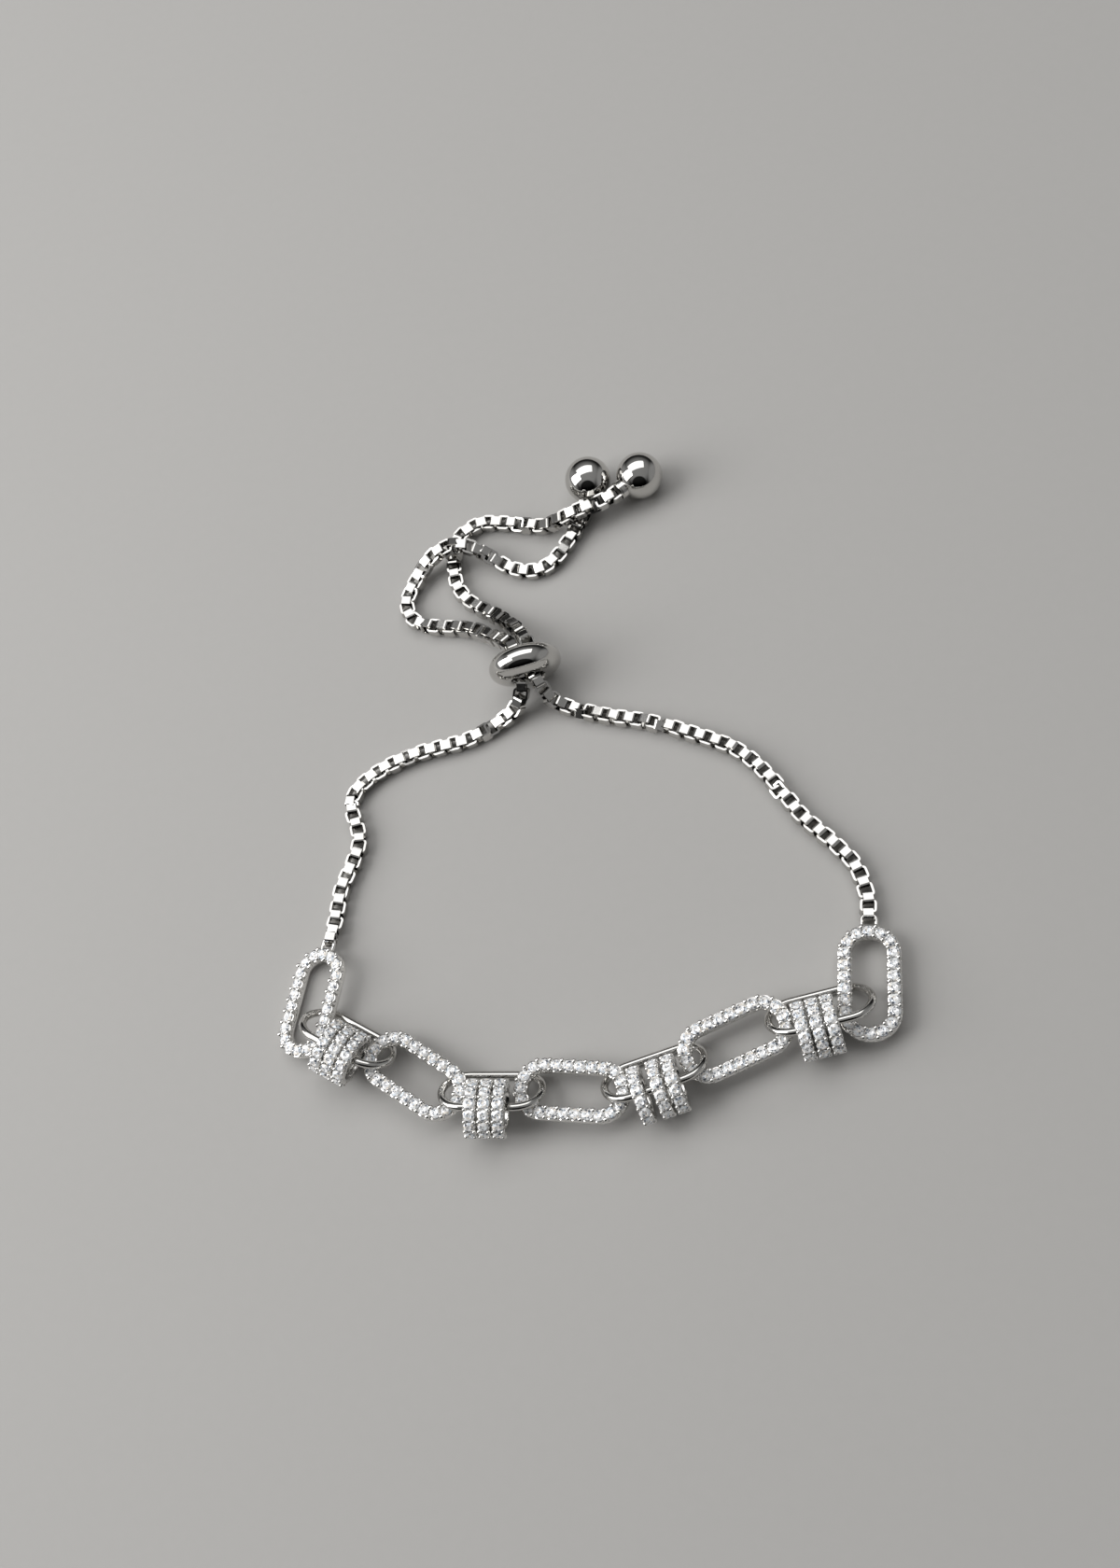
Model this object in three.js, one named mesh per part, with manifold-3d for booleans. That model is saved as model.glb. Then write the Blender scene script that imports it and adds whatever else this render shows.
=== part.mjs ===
// Slider bracelet, in millimetres, +Z up, lying on the plane z = 0.
// Five oval links with a row of set stones alternate with four plain wire links, each of which
// carries three stone-set rings. A box chain leaves each end link, passes through the slider
// bead and ends in a ball. The origin is under the middle of the lying bracelet, +X runs along
// the row of links and +Y from the links towards the slider.
import * as THREE from 'three';
import { mergeVertices } from 'three/addons/utils/BufferGeometryUtils.js';
import { ConvexGeometry } from 'three/addons/geometries/ConvexGeometry.js';
import Module from 'manifold-3d';

const wasm = await Module();
wasm.setup();

// Stone-set oval links
const paveLength = 11.1;
const paveWidth = 5.8;
const paveEndRise = 2.7;         // how far each rounded end reaches past the straight sides
const paveBar = 1.32;            // width of the metal round the opening
const paveMetal = 0.8;           // height of the metal under the stones
const paveStones = 22;
const paveEndSteps = 4;          // each rounded end has twice as many flats

// Small eye soldered to each end link, which holds the chain
const eyeRadius = 0.62;
const eyeWire = 0.17;
const eyeReach = 0.25;           // centre of the eye past the end of the link
const eyeSides = 5;
const eyeSteps = 12;

// Plain wire links
const wireRadius = 0.38;
const plainLength = 10.5;
const plainWidth = 5.58;
const wireSides = 6;
const wireEndSteps = 9;          // sections round each end

// Stone-set rings
const ringStones = 14;
const ringMetalRadius = 2.45;    // from the axis to each flat that carries a stone
const ringInnerRadius = 1.85;
const ringWidth = 1.22;
const ringBevel = 0.12;

// Cut stones: an eight-sided girdle, a crown of twelve facets and a square table
const stoneRadius = 0.5;
const stoneCrown = 0.34;
const stoneTable = 0.29;
const stonePavilion = 0.34;
const ringRadius = ringMetalRadius + stoneCrown;

// Slider bead and end balls
const sliderRadius = 3.75;
const sliderHalf = 1.5;
const sliderBore = 1.7;
const sliderLip = 0.3;           // rounding from the bore to the faces
const sliderSides = 16;
const ballRadius = 2.45;
const collarRadius = 1.06;
const collarReach = 0.45;        // the collar's rim past the ball
const socketRadius = 0.91;
const socketDepth = 0.35;
const ballSides = 14;
const profileSteps = 8;          // steps along the round of the slider bead and of each ball

// Box chain, as a plain tube of its outer size
const chainRadius = 0.74;        // to the flats
const chainSides = 8;
const chainStep = 2.1;           // length of tube between two sections

const sameCorner = 1e-4;         // corners nearer than this are one corner

const polished = { color: 0xd9dadd, metalness: 1, roughness: 0.12 };
const setStones = { color: 0xe6e8ee, metalness: 0.4, roughness: 0.15 };

const bracelet = new THREE.Group();
const degrees = THREE.MathUtils.degToRad;

// One named piece of the bracelet.
function addPiece(name, geometry, finish, parent = bracelet) {
  const mesh = new THREE.Mesh(geometry, new THREE.MeshStandardMaterial(finish));
  mesh.name = name;
  parent.add(mesh);
  return mesh;
}

// A geometry with shared corners and no collapsed triangles.
function closedGeometry(geometry) {
  const bare = geometry.clone();
  bare.deleteAttribute('normal');
  bare.deleteAttribute('uv');
  const merged = mergeVertices(bare, sameCorner);
  const corners = merged.index.array;
  const kept = [];
  for (let i = 0; i < corners.length; i += 3) {
    const [a, b, c] = corners.slice(i, i + 3);
    if (a !== b && b !== c && c !== a) kept.push(a, b, c);
  }
  merged.setIndex(kept);
  return merged;
}

function toSolid(geometry) {
  const closed = closedGeometry(geometry);
  return new wasm.Manifold(new wasm.Mesh({
    numProp: 3,
    vertProperties: new Float32Array(closed.attributes.position.array),
    triVerts: new Uint32Array(closed.index.array),
  }));
}

function toGeometry(solid) {
  const mesh = solid.getMesh();
  const geometry = new THREE.BufferGeometry();
  geometry.setAttribute('position', new THREE.BufferAttribute(mesh.vertProperties, 3));
  geometry.setIndex(new THREE.BufferAttribute(mesh.triVerts, 1));
  return geometry;
}

// All the given geometries joined into the first one.
function fuse(base, others) {
  return toGeometry(others.reduce((solid, other) => solid.add(toSolid(other)), toSolid(base)));
}

// A cut stone on the Z axis, with its girdle at z = 0 and its table up.
function cutStone() {
  const points = [new THREE.Vector3(0, 0, -stonePavilion)];
  for (let i = 0; i < 8; i += 1) {
    const angle = (i + 0.5) * Math.PI / 4;
    points.push(new THREE.Vector3(stoneRadius * Math.cos(angle), stoneRadius * Math.sin(angle), 0));
  }
  for (let i = 0; i < 4; i += 1) {
    const angle = i * Math.PI / 2;
    points.push(new THREE.Vector3(stoneTable * Math.cos(angle), stoneTable * Math.sin(angle), stoneCrown));
  }
  return new ConvexGeometry(points);
}

// A closed outline: two straight sides and two elliptical ends.
function ovalOutline(length, width, endRise) {
  const outline = new THREE.Shape();
  const endCentre = length / 2 - endRise;
  outline.absellipse(endCentre, 0, endRise, width / 2, -Math.PI / 2, Math.PI / 2);
  outline.absellipse(-endCentre, 0, endRise, width / 2, Math.PI / 2, 3 * Math.PI / 2);
  outline.closePath();
  return outline;
}

// An oval link with its underside at z = 0, its length along X and its stones on top.
function paveLink(withEye) {
  const outline = ovalOutline(paveLength, paveWidth, paveEndRise);
  const inset = 2 * paveBar;
  outline.holes.push(ovalOutline(paveLength - inset, paveWidth - inset, paveEndRise - paveBar));
  const metal = new THREE.ExtrudeGeometry(outline, {
    depth: paveMetal, bevelEnabled: false, curveSegments: paveEndSteps,
  });
  const row = ovalOutline(paveLength - paveBar, paveWidth - paveBar, paveEndRise - paveBar / 2);
  const places = row.getSpacedPoints(paveStones).slice(0, paveStones);
  const added = places.map((place, i) => {
    const ahead = places[(i + 1) % paveStones];
    const stone = cutStone().rotateZ(Math.atan2(ahead.y - place.y, ahead.x - place.x));
    return stone.translate(place.x, place.y, paveMetal);
  });
  if (withEye) {
    const eye = new THREE.TorusGeometry(eyeRadius, eyeWire, eyeSides, eyeSteps);
    added.push(eye.translate(paveLength / 2 + eyeReach, 0, paveMetal / 2));
  }
  return fuse(metal, added);
}

// The centre line of a wire link in the XY plane, with all its sections on the round ends.
class WireLoop extends THREE.Curve {
  angleAt(t) {
    const section = t * 2 * (wireEndSteps + 1);
    const onLeft = section > wireEndSteps + 0.5 && section < 2 * wireEndSteps + 1.5;
    const step = onLeft ? section - wireEndSteps - 1 : section % (2 * wireEndSteps + 2);
    return { onLeft, angle: (onLeft ? Math.PI / 2 : -Math.PI / 2) + Math.PI * step / wireEndSteps };
  }

  getPoint(t, target = new THREE.Vector3()) {
    const { onLeft, angle } = this.angleAt(t);
    const radius = plainWidth / 2 - wireRadius;
    const endCentre = (plainLength - plainWidth) / 2 * (onLeft ? -1 : 1);
    return target.set(endCentre + radius * Math.cos(angle), radius * Math.sin(angle), 0);
  }

  getTangent(t, target = new THREE.Vector3()) {
    const { angle } = this.angleAt(t);
    return target.set(-Math.sin(angle), Math.cos(angle), 0);
  }

  getPointAt(u, target) { return this.getPoint(u, target); }

  getTangentAt(u, target) { return this.getTangent(u, target); }
}

function plainLink() {
  const sections = 2 * (wireEndSteps + 1);
  return closedGeometry(new THREE.TubeGeometry(new WireLoop(), sections, wireRadius, wireSides, true));
}

// A ring with its axis along X and a stone on each of its flats, one of them straight down.
function paveRing() {
  const corner = ringMetalRadius / Math.cos(Math.PI / ringStones);
  const half = ringWidth / 2;
  const profile = [
    [ringInnerRadius, -half], [corner - ringBevel, -half], [corner, ringBevel - half],
    [corner, half - ringBevel], [corner - ringBevel, half], [ringInnerRadius, half],
    [ringInnerRadius, -half],
  ].map(([radius, along]) => new THREE.Vector2(radius, along));
  const band = new THREE.LatheGeometry(profile, ringStones, Math.PI / ringStones);
  const stones = [];
  for (let i = 0; i < ringStones; i += 1) {
    const stone = cutStone().rotateZ(Math.PI / 4).translate(0, 0, ringMetalRadius);
    stones.push(stone.rotateX(2 * Math.PI * i / ringStones));
  }
  return fuse(band.rotateZ(-Math.PI / 2), stones);
}

// A flat round bead with its axis along X, bored for two strands side by side.
function sliderBead() {
  const rimCentre = sliderBore + sliderLip;
  const profile = [new THREE.Vector2(sliderBore, sliderLip - sliderHalf)];
  for (let i = 0; i <= profileSteps; i += 1) {
    const angle = Math.PI * (i / profileSteps - 0.5);
    const bulge = (sliderRadius - rimCentre) * Math.cos(angle);
    profile.push(new THREE.Vector2(rimCentre + bulge, sliderHalf * Math.sin(angle)));
  }
  profile.push(new THREE.Vector2(sliderBore, sliderHalf - sliderLip), profile[0].clone());
  return closedGeometry(new THREE.LatheGeometry(profile, sliderSides).rotateZ(-Math.PI / 2));
}

// A ball on the origin, with a collar and a socket for the chain's end on +X.
function endBall() {
  const profile = [];
  const collarAngle = Math.acos(collarRadius / ballRadius);
  for (let i = 0; i <= profileSteps; i += 1) {
    const angle = -Math.PI / 2 + (Math.PI / 2 + collarAngle) * i / profileSteps;
    const radius = i === 0 ? 0 : ballRadius * Math.cos(angle);
    profile.push(new THREE.Vector2(radius, ballRadius * Math.sin(angle)));
  }
  const rim = ballRadius + collarReach;
  profile.push(
    new THREE.Vector2(collarRadius, rim),
    new THREE.Vector2(socketRadius, rim),
    new THREE.Vector2(socketRadius, rim - socketDepth),
    new THREE.Vector2(0, rim - socketDepth),
  );
  return closedGeometry(new THREE.LatheGeometry(profile, ballSides).rotateZ(-Math.PI / 2));
}

// A stretch of chain through the given points.
function chainTube(points) {
  const path = new THREE.CatmullRomCurve3(points.map((point) => new THREE.Vector3(...point)));
  const section = new THREE.Shape();
  const corner = chainRadius / Math.cos(Math.PI / chainSides);
  for (let i = 0; i < chainSides; i += 1) {
    const angle = 2 * Math.PI * (i + 0.5) / chainSides;
    section[i ? 'lineTo' : 'moveTo'](corner * Math.cos(angle), corner * Math.sin(angle));
  }
  section.closePath();
  const steps = Math.round(path.getLength() / chainStep);
  return closedGeometry(new THREE.ExtrudeGeometry(section, { steps, extrudePath: path }));
}

// Places a piece: turn is about Z, rise lifts its +X end, roll is about its own length.
function place(mesh, { x, y, z, turn, rise = 0, roll = 0 }) {
  mesh.position.set(x, y, z);
  mesh.rotation.set(degrees(roll), -degrees(rise), degrees(turn), 'ZYX');
}

// Where the stone-set links lie: the middle of the underside, and how each one is turned.
const pavePlaces = [
  { x: -26.61, y: -21.76, z: 0.90, turn: 77.5, roll: -17, rise: 0, eye: true },
  { x: -15.8, y: -29.65, z: 1.6, turn: -34, roll: -7, rise: 0, eye: false },
  { x: -0.62, y: -31.7, z: 1.51, turn: -6, roll: -3, rise: 1, eye: false },
  { x: 14.67, y: -27.61, z: 1.6, turn: 22, roll: 2, rise: 1, eye: false },
  { x: 27.09, y: -22.91, z: 1.05, turn: 87, roll: 0, rise: -3, eye: true },
];
for (const [i, where] of pavePlaces.entries()) {
  const link = addPiece(`pave_link_${i + 1}`, paveLink(where.eye), setStones);
  place(link, where);
}

// The plain links lean on their far bar, and their near bar carries the rings. Each ring is
// given by how far along the bar it stands from the middle of the link.
const wireBar = plainWidth / 2 - wireRadius;
const plainPlaces = [
  { x: -22.58, y: -25.68, turn: -29.5, lean: 49, tip: 10, rings: [-1.1, 0.26, 1.62] },
  { x: -8.28, y: -31.34, turn: -2.5, lean: 41, tip: 8, rings: [-1.53, -0.18, 1.17] },
  { x: 7.08, y: -30.3, turn: 16.5, lean: 40.5, tip: 0, rings: [-1.7, 0.15, 1.6] },
  { x: 22.46, y: -25.23, turn: 11.5, lean: 41, tip: 0, rings: [-1.92, -0.58, 0.76] },
];
let ringNumber = 0;
for (const [i, { x, y, turn, lean, tip, rings }] of plainPlaces.entries()) {
  const link = addPiece(`plain_link_${i + 1}`, plainLink(), polished);
  const middle = wireRadius + wireBar * Math.sin(degrees(lean));
  place(link, { x, y, z: middle, turn, roll: -lean });
  const row = new THREE.Group();
  row.position.set(x, y, 0);
  row.rotation.z = degrees(turn);
  bracelet.add(row);
  for (const along of rings) {
    ringNumber += 1;
    const ring = addPiece(`pave_ring_${ringNumber}`, paveRing(), setStones, row);
    const height = ringRadius * Math.cos(degrees(tip)) + ringWidth / 2 * Math.sin(degrees(tip));
    ring.position.set(along, -wireBar * Math.cos(degrees(lean)), height);
    ring.rotation.y = degrees(tip);
  }
}

// The slider bead stands on its rim, with its bore along the two strands.
const slider = { x: -5.03, y: 11.72, z: sliderRadius, turn: 102.4, rise: 12 };
place(addPiece('slider_bead', sliderBead(), polished), slider);

// The end balls, each turned so that its collar faces the chain.
place(addPiece('end_ball_left', endBall(), polished),
  { x: 1.38, y: 33.55, z: ballRadius, turn: -102, rise: -28 });
place(addPiece('end_ball_right', endBall(), polished),
  { x: 6.92, y: 33.32, z: ballRadius, turn: -142, rise: 3 });

// The chains' routes, chosen by hand, from an end link to the slider and from there to a ball.
addPiece('chain_left', chainTube([
  [-25.15, -15.1, 1.25], [-24.9, -13.15, 0.82], [-24.4, -9.95, 0.82], [-23.3, -7.15, 0.82],
  [-22.8, -4.95, 0.82], [-23.3, -2.95, 0.82], [-23.8, -1.25, 0.82], [-23.3, 0.55, 0.82],
  [-21.5, 2.15, 0.82], [-19.4, 3.25, 0.82], [-16.8, 4.15, 0.82], [-14.2, 4.65, 0.82],
  [-11.7, 5.15, 0.82], [-9.1, 6.35, 0.82], [-7.2, 7.45, 1.1], [-5.96, 8.34, 2.2],
  [-5.43, 9.72, 3.35], [-5.79, 11.4, 3.72],
]), polished);
addPiece('tail_left', chainTube([
  [-5.85, 11.68, 3.78], [-6.22, 13.36, 4.14], [-7.01, 14.44, 3.6], [-8.05, 15.4, 2.65],
  [-9.3, 16.45, 1.6], [-11, 17.55, 1.11], [-13, 18.15, 0.82], [-14.9, 18.45, 0.82],
  [-16.8, 18.95, 0.82], [-18.2, 19.95, 0.82], [-18.7, 21.45, 0.82], [-18.4, 22.95, 0.82],
  [-17.6, 24.35, 1.11], [-16.5, 25.75, 1.73], [-15.1, 26.65, 2.35], [-13.6, 27.15, 2.6],
  [-12, 27.05, 2.47], [-10.6, 26.65, 1.85], [-9.2, 25.95, 1.11], [-7.6, 24.85, 0.82],
  [-5.7, 24.15, 0.82], [-4, 24.25, 0.82], [-2.6, 25.15, 0.82], [-1.4, 26.75, 0.82],
  [-0.3, 28.45, 0.82], [0.72, 30.47, 0.84], [0.88, 31.21, 1.18],
]), polished);
addPiece('chain_right', chainTube([
  [27.35, -16.15, 1.05], [27.4, -14.75, 0.82], [27.1, -13.15, 0.82], [26.4, -11.15, 0.82],
  [25, -9.35, 0.82], [23.2, -7.45, 0.82], [21.7, -5.85, 0.82], [20.2, -3.55, 0.82],
  [18.8, -1.55, 0.82], [17.3, 0.25, 0.82], [15.5, 1.75, 0.82], [13.4, 2.85, 0.82],
  [11.1, 3.85, 0.82], [8.7, 4.85, 0.82], [6.2, 5.65, 0.82], [3.3, 6.35, 0.82],
  [0.7, 7.15, 0.82], [-1.2, 7.85, 0.82], [-2.5, 8.45, 1.5], [-3.29, 9.11, 2.5],
  [-3.84, 10.08, 3.35], [-4.21, 11.76, 3.72],
]), polished);
addPiece('tail_right', chainTube([
  [-4.27, 12.04, 3.78], [-4.64, 13.72, 4.14], [-5.19, 14.86, 3.8], [-6.1, 16.2, 2.8],
  [-7.4, 17.65, 1.98], [-9.1, 19.25, 0.99], [-10.9, 20.45, 0.82], [-12.2, 21.55, 0.82],
  [-13.1, 23.05, 0.82], [-13.5, 24.65, 0.82], [-13.7, 26.65, 0.82], [-13.3, 28.65, 0.82],
  [-12.3, 29.85, 0.82], [-10.6, 30.55, 0.82], [-8.4, 30.35, 0.82], [-6.1, 29.85, 0.82],
  [-3.6, 29.25, 1.17], [-1.7, 29.25, 2.1], [0.1, 29.65, 2.65], [2, 30.2, 2.7],
  [3.85, 30.93, 2.66], [4.78, 31.65, 2.59],
]), polished);

export default bracelet;
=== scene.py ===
import math
import bmesh
import bpy
from mathutils import Euler, Matrix, Vector


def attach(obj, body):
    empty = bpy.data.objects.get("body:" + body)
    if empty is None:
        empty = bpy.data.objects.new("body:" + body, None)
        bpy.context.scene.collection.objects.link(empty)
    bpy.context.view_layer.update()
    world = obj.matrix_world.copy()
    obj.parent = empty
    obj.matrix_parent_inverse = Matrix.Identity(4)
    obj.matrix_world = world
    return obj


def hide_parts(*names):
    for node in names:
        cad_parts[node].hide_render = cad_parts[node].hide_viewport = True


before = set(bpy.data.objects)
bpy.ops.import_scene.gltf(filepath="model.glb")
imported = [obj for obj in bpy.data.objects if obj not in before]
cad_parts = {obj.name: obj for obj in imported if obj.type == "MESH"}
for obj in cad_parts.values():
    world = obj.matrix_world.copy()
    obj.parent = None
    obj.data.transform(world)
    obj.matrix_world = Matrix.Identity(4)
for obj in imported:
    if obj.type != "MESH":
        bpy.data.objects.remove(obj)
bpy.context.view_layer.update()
mm = 0.001         # sizes below are in millimetres, and each piece is scaled once, when it is finished
sameCorner = 1e-5  # corners nearer than this are one


class Flow:
    # a socket that can stand in plain arithmetic
    def __init__(self, tree, socket):
        self.tree = tree
        self.socket = socket

    def worked(self, operation, first, second):
        node = addNode(self.tree, "ShaderNodeMath", {"operation": operation}, {0: first, 1: second})
        return Flow(self.tree, node.outputs[0])

    def __add__(self, other):
        return self.worked("ADD", self, other)

    def __radd__(self, other):
        return self.worked("ADD", other, self)

    def __sub__(self, other):
        return self.worked("SUBTRACT", self, other)

    def __rsub__(self, other):
        return self.worked("SUBTRACT", other, self)

    def __mul__(self, other):
        return self.worked("MULTIPLY", self, other)

    def __rmul__(self, other):
        return self.worked("MULTIPLY", other, self)

    def __mod__(self, other):
        return self.worked("FLOORED_MODULO", self, other)

    def __gt__(self, other):
        return self.worked("GREATER_THAN", self, other)

    def atLeast(self, other):
        return self.worked("MAXIMUM", self, other)


def feed(tree, node, sockets):
    # links what flows, and sets what is a plain value
    for name, value in sockets.items():
        socket = node.inputs[name]
        if isinstance(value, Flow):
            tree.links.new(value.socket, socket)
        elif isinstance(value, bpy.types.NodeSocket):
            tree.links.new(value, socket)
        else:
            socket.default_value = value


def addNode(tree, kind, settings=None, sockets=None):
    node = tree.nodes.new(kind)
    for name, value in (settings or {}).items():
        if name == "stops":  # a ramp's stops, as place and grey
            ramp = node.color_ramp.elements
            while len(ramp) < len(value):
                ramp.new(1.0)
            for element, (place, grey) in zip(ramp, value):
                element.position = place
                element.color = (grey, grey, grey, 1.0)
        else:
            setattr(node, name, value)
    feed(tree, node, sockets or {})
    return node


def newTree(name, inputs):
    # a geometry tree with named inputs; gives the tree and the sockets of its inputs by name
    tree = bpy.data.node_groups.new(name, "GeometryNodeTree")
    tree.interface.new_socket(name="Geometry", in_out="INPUT", socket_type="NodeSocketGeometry")
    tree.interface.new_socket(name="Geometry", in_out="OUTPUT", socket_type="NodeSocketGeometry")
    for label, kind in inputs:
        tree.interface.new_socket(name=label, in_out="INPUT", socket_type="NodeSocket" + kind)
    entry = addNode(tree, "NodeGroupInput")
    return tree, {socket.name: socket for socket in entry.outputs if socket.name}


def vectorMath(tree, operation, *values):
    node = addNode(tree, "ShaderNodeVectorMath", {"operation": operation}, dict(enumerate(values)))
    return node.outputs["Value" if operation == "DOT_PRODUCT" else "Vector"]


def scaled(tree, vector, amount):
    return addNode(tree, "ShaderNodeVectorMath", {"operation": "SCALE"},
                   {0: vector, "Scale": amount}).outputs["Vector"]


def combined(tree, x, y, z):
    return addNode(tree, "ShaderNodeCombineXYZ", None, {0: x, 1: y, 2: z}).outputs[0]


def between(tree, value, edges, low=0.0, high=1.0, soft=False):
    # low up to the first edge and high past the second, with an even or a soft step between
    settings = {"interpolation_type": "SMOOTHSTEP" if soft else "LINEAR"}
    return addNode(tree, "ShaderNodeMapRange", settings, {
        "Value": value, "From Min": edges[0], "From Max": edges[1],
        "To Min": low, "To Max": high}).outputs[0]


def turnedBy(tree, rotation, turn):
    # turns a rotation about its own axes
    return addNode(tree, "FunctionNodeRotateRotation", {"rotation_space": "LOCAL"}, {
        "Rotation": rotation, "Rotate By": turn}).outputs[0]


def madeReal(tree, geometry, material):
    # instances become plain faces, all of one material
    real = addNode(tree, "GeometryNodeRealizeInstances", None, {0: geometry}).outputs[0]
    return addNode(tree, "GeometryNodeSetMaterial", None, {
        "Geometry": real, "Material": material}).outputs[0]


def runTree(host, tree, values):
    # the tree's result becomes the host's own plain mesh
    modifier = host.modifiers.new(tree.name, "NODES")
    modifier.node_group = tree
    for item in tree.interface.items_tree:
        if item.in_out == "INPUT" and item.name in values:
            modifier[item.identifier] = values[item.name]
    graph = bpy.context.evaluated_depsgraph_get()
    result = bpy.data.meshes.new_from_object(
        host.evaluated_get(graph), preserve_all_data_layers=True, depsgraph=graph)
    host.modifiers.remove(modifier)
    spent = host.data
    host.data = result
    bpy.data.meshes.remove(spent)
    return host


def meshObject(name, vertices, faces=(), edges=(), smooth=0):
    # smooth is the angle, in degrees, past which an edge stays sharp; at 0 all faces stay flat
    mesh = bpy.data.meshes.new(name)
    mesh.from_pydata([tuple(v) for v in vertices], list(edges), list(faces))
    if faces:
        merged = bmesh.new()
        merged.from_mesh(mesh)
        bmesh.ops.remove_doubles(merged, verts=merged.verts, dist=sameCorner)
        bmesh.ops.recalc_face_normals(merged, faces=merged.faces)
        merged.to_mesh(mesh)
        merged.free()
    for polygon in mesh.polygons:
        polygon.use_smooth = smooth > 0
    if smooth:
        mesh.set_sharp_from_angle(angle=math.radians(smooth))
    obj = bpy.data.objects.new(name, mesh)
    bpy.context.scene.collection.objects.link(obj)
    return obj


def loopObject(name, points, closed=True):
    count = len(points)
    edges = [(i, (i + 1) % count) for i in range(count if closed else count - 1)]
    return meshObject(name, points, edges=edges)


def gridFaces(rows, columns, wrapRows=True, wrapColumns=True):
    faces = []
    for i in range(rows if wrapRows else rows - 1):
        for j in range(columns if wrapColumns else columns - 1):
            a, b = i * columns, (i + 1) % rows * columns
            faces.append((a + j, b + j, b + (j + 1) % columns, a + (j + 1) % columns))
    return faces


def sweepLoop(name, path, profile, radial):
    # a closed section carried round a closed path; its height is along Z, or outward where radial
    vertices = []
    for i, point in enumerate(path):
        tangent = (path[(i + 1) % len(path)] - path[i - 1]).normalized()
        up = Vector((point.x, point.y, 0)).normalized() if radial else Vector((0, 0, 1))
        side = tangent.cross(up)
        vertices += [point + side * across + up * height for across, height in profile]
    return meshObject(name, vertices, gridFaces(len(path), len(profile)), smooth=40)


def turnProfile(name, profile, segments):
    # a profile of (radius, along) turned about the X axis; a radius of 0 closes on the axis
    vertices = []
    for i in range(segments):
        angle = 2 * math.pi * i / segments
        vertices += [(along, radius * math.cos(angle), radius * math.sin(angle))
                     for radius, along in profile]
    closes = profile[0][0] > 0
    faces = gridFaces(segments, len(profile), wrapColumns=closes)
    return meshObject(name, vertices, faces, smooth=35)


def ovalLoop(length, width, endRise, steps, height=0.0):
    # two straight sides and two ends, each end half an ellipse that reaches endRise beyond them
    centre = length / 2 - endRise
    points = []
    for end in (1, -1):
        for i in range(steps + 1):
            angle = (i / steps - 0.5) * math.pi
            points.append(Vector((end * (centre + endRise * math.cos(angle)),
                                  end * width / 2 * math.sin(angle), height)))
    return points


def placeMatrix(x, y, z, turn=0.0, rise=0.0, roll=0.0):
    spin = Euler((math.radians(roll), -math.radians(rise), math.radians(turn)), "XYZ")
    return Matrix.Translation((x, y, z)) @ spin.to_matrix().to_4x4()


def finishPiece(obj, name, node, matrix=Matrix.Identity(4)):
    # the place goes into the mesh, in metres, and the piece takes over from its node
    obj.name = name
    obj.data.name = name
    obj.data.transform(Matrix.Scale(mm, 4) @ matrix)
    obj.data.update()
    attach(obj, "root")
    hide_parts(node)


metalLook = {
    "plate": (0.62, 0.61, 0.59),     # white plating
    "worn": (0.5, 0.49, 0.47),       # where the plating is a little thinner
    "bright": (0.86, 0.85, 0.83),    # freshly cut edges round the stones
    "cloud": 220.0,                  # the scales of three noises, in cells per metre
    "hairline": 2600.0,
    "polish": 1600.0,
    "cloudEdges": (0.45, 0.75),      # the clouds between which the wear sets in
    "squash": (1.0, 6.0, 1.0),       # finer along Y, which draws the hairlines out
    "bumpDepth": 0.02,
}
stoneLook = {
    # each stone's facets get painted light, painted shade and painted fire in their colour
    "bright": (1.0, 1.0, 1.0),
    "paintedShadeFacet": (0.18, 0.2, 0.24),       # facets with painted shade, in place of the dark room that a real stone mirrors
    "paintedCoolFire": (0.86, 0.93, 1.0),       # faint painted fire, coloured light painted into some facets
    "paintedWarmFire": (1.0, 0.93, 0.84),
    "mirror": (0.02, 0.42),          # how much each facet mirrors the room
    "roughness": 0.04,
    "paintedLightMix": (7.31, 13.7),        # how the facet's and the stone's number give its share of painted light
    "paintedFireMix": (3.17, 29.3),         # and of painted fire
    "paintedShadeEdges": (0.72, 0.9),        # shares of painted light between which a facet turns to painted shade
    "paintedCoolFrom": 0.74,                # shares of painted fire from which a facet is painted cool, then painted warm
    "paintedWarmFrom": 0.86,
}


def newMaterial(name):
    material = bpy.data.materials.new(name)
    material.use_nodes = True
    tree = material.node_tree
    tree.nodes.clear()
    shader = addNode(tree, "ShaderNodeBsdfPrincipled")
    addNode(tree, "ShaderNodeOutputMaterial", None, {"Surface": shader.outputs[0]})
    return material, tree, shader


def noise(tree, scale, detail=2.0, squash=(1.0, 1.0, 1.0)):
    place = addNode(tree, "ShaderNodeTexCoord").outputs["Object"]
    spread = addNode(tree, "ShaderNodeMapping", None, {"Vector": place, "Scale": squash}).outputs[0]
    return Flow(tree, addNode(tree, "ShaderNodeTexNoise", None,
                              {"Vector": spread, "Scale": scale, "Detail": detail}).outputs[0])


def mixColour(tree, amount, first, second):
    def filled(colour):
        return (*colour, 1) if isinstance(colour, tuple) else colour

    return addNode(tree, "ShaderNodeMix", {"data_type": "RGBA"}, {
        0: amount, 6: filled(first), 7: filled(second)}).outputs[2]


def polishedMetal(name, roughness, wear, grain, tone="plate"):
    look = metalLook
    material, tree, shader = newMaterial(name)
    clouds = noise(tree, look["cloud"], 3.0)
    patches = between(tree, clouds, look["cloudEdges"], high=wear)
    low, high = roughness
    hairlines = noise(tree, look["hairline"], 1.0, look["squash"])
    bump = addNode(tree, "ShaderNodeBump", None, {
        "Height": hairlines * 0.5 + clouds * 0.5, "Strength": grain, "Distance": look["bumpDepth"] * mm})
    feed(tree, shader, {
        "Base Color": mixColour(tree, patches, look[tone], look["worn"]),
        "Metallic": 1.0,
        "Roughness": noise(tree, look["polish"]) * (high - low) + low,
        "Normal": bump.outputs[0]})
    return material


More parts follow.
